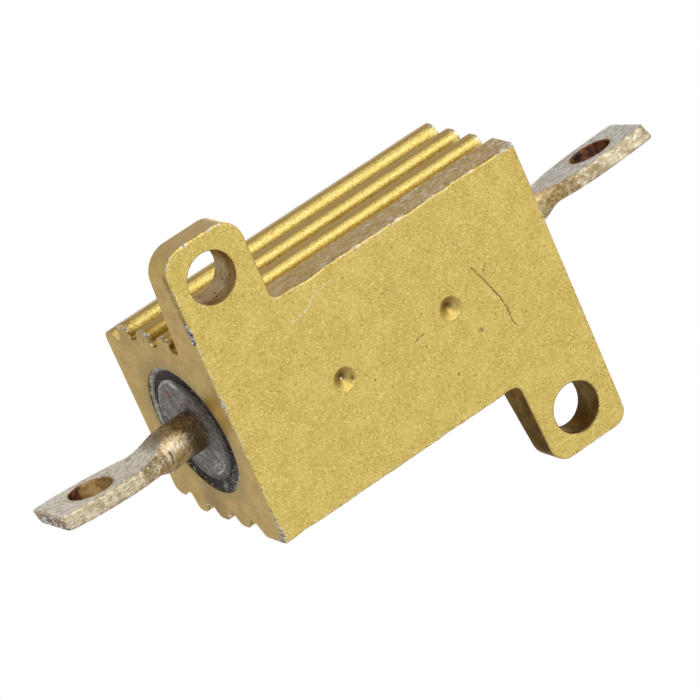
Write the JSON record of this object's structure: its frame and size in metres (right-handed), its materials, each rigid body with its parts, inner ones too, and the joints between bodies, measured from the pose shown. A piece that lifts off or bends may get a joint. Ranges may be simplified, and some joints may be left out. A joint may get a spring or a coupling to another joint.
{
  "type": "aluminium housed power resistor",
  "caption": "Wire-wound power resistor in a ridged, gold anodised aluminium housing with diagonal mounting lugs and flattened eyelet terminals.",
  "frame": {"origin": "middle of the housing's foot, in its flat mounting face", "axes": "+Z points away from the mounting face through the housing; X runs along the resistance element from terminal to terminal; Y runs across the housing; the lugs stand at -X -Y and at +X +Y"},
  "size_m": [0.0359, 0.02, 0.0097],
  "materials": {
    "gold_anodised_aluminium": "fine matte, gold anodised over a tumbled surface",
    "ceramic": "unglazed",
    "resistance_wire": "drawn wire",
    "cap_steel": "dull dark grey, scratched",
    "tinned_terminal": "tinned, worn, rusty at the cut ends and holes",
    "potting_compound": "dull moulded compound"
  },
  "bodies": {
    "root": {"housing": "gold_anodised_aluminium", "ceramic_core": "ceramic", "resistance_winding": "resistance_wire", "end_cap_left": "cap_steel", "end_cap_right": "cap_steel", "terminal_left": "tinned_terminal", "terminal_right": "tinned_terminal", "potting": "potting_compound"}
  },
  "joints": []
}
